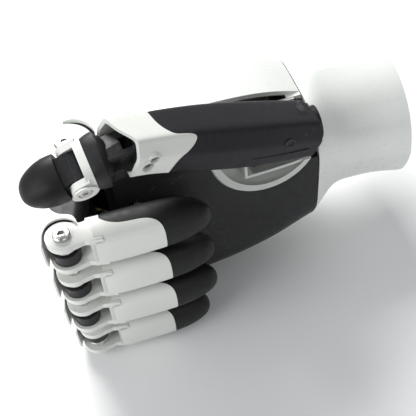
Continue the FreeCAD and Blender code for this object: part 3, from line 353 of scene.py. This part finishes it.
# oval plug near the root of the thumb housing, and the lip that runs past it
plate("thumb_housing_plug", (-51.84, -35.17, 33.57), (0.365, -0.875, 0.319), (0.9, 0.2, -0.3), (2.3, 1.5), 0.35, "thumb_meta", MATS["black_satin"], dish=0.8)
bead("thumb_housing_lip", [(-66.0, -37.75, 33.9), (-62.0, -37.0, 32.2), (-57.6, -36.15, 30.4), (-50.5, -34.7, 27.6), (-43.9, -33.2, 25.3)], 0.32, "thumb_meta", MATS["black_satin"])

# soft neck between the thumb's first bracket and its black segment
MP, IP = V3(-101.8, -34.9, 53.0), V3(-122.1533, -36.2155, 50.9354)
pz = Vector((0.0935064, -0.9423275, -0.3213650))
px = (MP - IP).normalized()
py = pz.cross(px)
bm = bmesh.new()
rows = []
for x, hy, hz, zc, p in ((-12.6, 6.5, 7.6, 0.0, 3.0), (-12.05, 6.75, 8.0, 0.0, 3.0), (-11.4, 6.65, 7.8, 0.0, 2.8), (-10.6, 6.2, 7.1, 0.0, 2.5), (-9.8, 5.6, 6.1, 0.0, 2.2), (-9.0, 4.9, 5.3, 0.0, 2.1), (-8.2, 4.2, 4.6, 0.0, 2.0)):
    row = []
    for k in range(40):
        a = 2 * math.pi * k / 40
        c, s_ = math.cos(a), math.sin(a)
        rr = 1.0 / (abs(c) ** p + abs(s_) ** p) ** (1.0 / p)
        row.append(bm.verts.new(MP + (px * x + py * (c * rr * hy) + pz * (s_ * rr * hz + zc)) * 0.001))
    rows.append(row)
for a_, b_ in zip(rows[:-1], rows[1:]):
    for k in range(40):
        bm.faces.new((a_[k], b_[k], b_[(k + 1) % 40], a_[(k + 1) % 40]))
bm.faces.new(list(reversed(rows[-1])))
bm.faces.new(rows[0])
bmesh.ops.recalc_face_normals(bm, faces=bm.faces)
me = bpy.data.meshes.new("thumb_neck")
bm.to_mesh(me)
bm.free()
neck = bpy.data.objects.new("thumb_neck", me)
scene.collection.objects.link(neck)
me.materials.append(MATS["black_rubber"])
me.polygons.foreach_set("use_smooth", [True] * len(me.polygons))
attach(neck, "thumb_prox")

# -------------------------------------------------------------- floor, lights
lo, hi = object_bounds()
FLOOR_Z = lo.z - 0.0012
bm = bmesh.new()
bmesh.ops.create_grid(bm, x_segments=2, y_segments=2, size=2.6)
me = bpy.data.meshes.new("floor")
bm.to_mesh(me)
bm.free()
floor = bpy.data.objects.new("floor", me)
floor.location = (0, 0, FLOOR_Z)
scene.collection.objects.link(floor)
t = Tree("Floor_pale")
fcol = t.mix(t.span(t.noise(6.0, 3.0), 0.3, 0.7, 0.0, 1.0), (0.90, 0.90, 0.90), (0.87, 0.875, 0.88))
floor.data.materials.append(t.finish(fcol, t.span(t.noise(40.0), 0.3, 0.7, 0.75, 0.85), t.bump(t.noise(900.0), 0.05, 0.0001), spec=0.15))

centre = Vector((-0.078, -0.012, 0.004))


def area(name, pos, size, power, colour=(1, 1, 1), target=centre, size_y=None):
    d = bpy.data.lights.new(name, "AREA")
    d.energy = power
    d.color = colour
    d.size = size
    if size_y:
        d.shape = "RECTANGLE"
        d.size_y = size_y
    o = bpy.data.objects.new(name, d)
    o.location = pos
    o.rotation_mode = "QUATERNION"
    o.rotation_quaternion = (target - Vector(pos)).to_track_quat("-Z", "Y")
    scene.collection.objects.link(o)
    return o


area("key", (-0.16, 0.46, 0.52), 0.34, 6.2, (1.0, 0.995, 0.985))
area("fill", (-0.66, -0.20, 0.34), 0.45, 2.2, (0.97, 0.985, 1.0))
area("front", (0.10, -0.66, 0.36), 0.40, 0.5, (1.0, 1.0, 0.99))
w = bpy.data.worlds.new("studio")
scene.world = w
w.use_nodes = True
w.node_tree.nodes["Background"].inputs[0].default_value = (0.93, 0.95, 0.97, 1)
w.node_tree.nodes["Background"].inputs[1].default_value = 0.38
scene.view_settings.view_transform = "Standard"
scene.view_settings.look = "None"
scene.view_settings.exposure = 0.0
scene.view_settings.gamma = 1.0

# --------------------------------------------------------------------- camera
cd = bpy.data.cameras.new("camera")
cam = bpy.data.objects.new("camera", cd)
scene.collection.objects.link(cam)
r = Vector((0.94929231, -0.30789405, -0.06360316))
u = Vector((0.2810129, 0.74023605, 0.61080467))
b = Vector((-0.14098177, -0.59770548, 0.78922259))
m = Matrix((r, u, b)).transposed().to_4x4()
m.translation = Vector((-0.12449, -0.21532, 0.24995))
cam.matrix_world = m
cd.sensor_width = 36.0
cd.sensor_fit = "HORIZONTAL"
cd.lens = 75.157
cd.clip_start, cd.clip_end = 0.01, 20.0
scene.camera = cam
